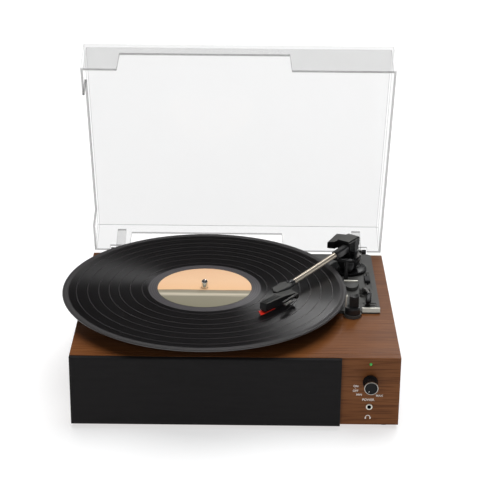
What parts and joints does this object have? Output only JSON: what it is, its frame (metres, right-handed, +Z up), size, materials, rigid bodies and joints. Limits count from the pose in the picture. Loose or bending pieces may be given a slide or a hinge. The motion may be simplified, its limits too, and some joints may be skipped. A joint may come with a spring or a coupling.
{
  "type": "turntable record player",
  "caption": "Belt-drive record player in a wooden cabinet with front grille, clear hinged dust cover, straight tonearm and a record on the platter",
  "frame": {"origin": "Bottom centre of the bounding box of the whole player, with the dust cover open and the record on the platter.", "axes": "+X to the right along the front, +Y from the front to the back, +Z up."},
  "size_m": [0.3498, 0.32, 0.3397],
  "materials": {
    "wood_veneer": "satin walnut-brown veneer",
    "board": "plain board",
    "grille_cloth": "black speaker cloth",
    "black_plastic": "black moulded plastic",
    "matte_black": "matte black plastic",
    "vinyl": "grooved black vinyl",
    "label_paper": "printed paper",
    "felt": "black felt",
    "silver_metal": "satin silver",
    "aluminium": "cast and turned aluminium",
    "chrome": "polished",
    "brass": "turned brass",
    "rubber": "black rubber",
    "red_plastic": "red moulded plastic",
    "green_lens": "green light lens",
    "circuit_board": "green lacquered board",
    "speaker_paper": "pressed paper cone",
    "clear_acrylic": "clear acrylic",
    "white_print": "white printed marks"
  },
  "bodies": {
    "cabinet": {"top_panel": "wood_veneer", "front_baffle": "wood_veneer", "side_panel_left": "wood_veneer", "side_panel_right": "wood_veneer", "rear_panel": "board", "bottom_panel": "board", "foot_front_left": "rubber", "foot_front_right": "rubber", "foot_rear_left": "rubber", "foot_rear_right": "rubber", "grille_cloth": "grille_cloth", "grille_frame": "matte_black", "speaker_left": "silver_metal", "speaker_right": "silver_metal", "speaker_cone_left": "speaker_paper", "speaker_cone_right": "speaker_paper", "power_light": "green_lens", "headphone_jack": "chrome", "potentiometer": "silver_metal", "amplifier_board": "circuit_board", "line_out_jacks": "brass", "power_inlet": "matte_black", "deck_plate": "black_plastic", "front_bar": "silver_metal", "pad_bar": "silver_metal", "deck_screw_1": "silver_metal", "deck_screw_2": "silver_metal", "arm_rest": "black_plastic", "spindle": "chrome", "platter_clip": "silver_metal", "motor": "silver_metal", "drive_belt": "rubber", "tonearm_base": "black_plastic", "hinge_bracket_left": "matte_black", "hinge_bracket_right": "matte_black"},
    "platter": {"platter": "aluminium", "platter_bush": "brass", "slip_mat": "felt", "record": "vinyl", "record_label": "label_paper"},
    "pulley": {"motor_pulley": "brass"},
    "arm_yoke": {"tonearm_yoke": "black_plastic", "cross_pin": "silver_metal"},
    "arm": {"tonearm_head": "black_plastic", "tonearm_tube": "aluminium", "wand_plate": "black_plastic", "headshell": "black_plastic", "finger_lift": "silver_metal", "cartridge": "black_plastic", "stylus": "red_plastic"},
    "cue_lever": {"cue_lever": "silver_metal"},
    "cue_platform": {"cue_platform": "black_plastic"},
    "speed_slider": {"speed_slider": "black_plastic"},
    "autostop_slider": {"autostop_slider": "black_plastic"},
    "volume_knob": {"volume_knob": "black_plastic", "knob_ring": "chrome", "knob_shaft": "silver_metal"},
    "lid": {"dust_cover": "clear_acrylic", "hinge_leaf_left": "clear_acrylic", "hinge_leaf_right": "clear_acrylic"}
  },
  "joints": [
    {"name": "platter_spin", "type": "hinge", "parent": "cabinet", "child": "platter", "pos_m": [-0.0241, -0.00925, 0.089], "axis": [0, 0, 1], "continuous": true},
    {"name": "pulley_spin", "type": "hinge", "parent": "cabinet", "child": "pulley", "pos_m": [-0.07784, 0.04449, 0.086], "axis": [0, 0, 1], "continuous": true},
    {"name": "arm_swing", "type": "hinge", "parent": "cabinet", "child": "arm_yoke", "pos_m": [0.1334, 0.07325, 0.089], "axis": [0, 0, 1], "range_deg": [-12, 35]},
    {"name": "arm_lift", "type": "hinge", "parent": "arm_yoke", "child": "arm", "pos_m": [0.1334, 0.07325, 0.1035], "axis": [-0.8192, 0.5736, 0], "range_deg": [0, 3.2]},
    {"name": "cue_lever_turn", "type": "hinge", "parent": "cabinet", "child": "cue_lever", "pos_m": [0.1479, 0.00925, 0.0858], "axis": [-1, 0, 0], "range_deg": [0, 40]},
    {"name": "cue_platform_rise", "type": "slide", "parent": "cabinet", "child": "cue_platform", "axis": [0, 0, 1], "range_m": [0, 0.0015]},
    {"name": "speed_select", "type": "slide", "parent": "cabinet", "child": "speed_slider", "axis": [1, 0, 0], "range_m": [0, 0.0065]},
    {"name": "autostop_select", "type": "slide", "parent": "cabinet", "child": "autostop_slider", "axis": [0, 1, 0], "range_m": [0, 0.008]},
    {"name": "volume_turn", "type": "hinge", "parent": "cabinet", "child": "volume_knob", "pos_m": [0.1449, -0.13875, 0.0529], "axis": [0, 1, 0], "range_deg": [0, 300]},
    {"name": "lid_close", "type": "hinge", "parent": "cabinet", "child": "lid", "pos_m": [0.0109, 0.12325, 0.083], "axis": [1, 0, 0], "range_deg": [0, 69.6]}
  ],
  "couplings": [
    {"joint": "pulley_spin", "follows": "platter_spin", "ratio": 8.9412},
    {"joint": "cue_lever_turn", "follows": "arm_lift", "ratio": 12},
    {"joint": "cue_platform_rise", "follows": "arm_lift", "m_per_rad": 0.025}
  ]
}
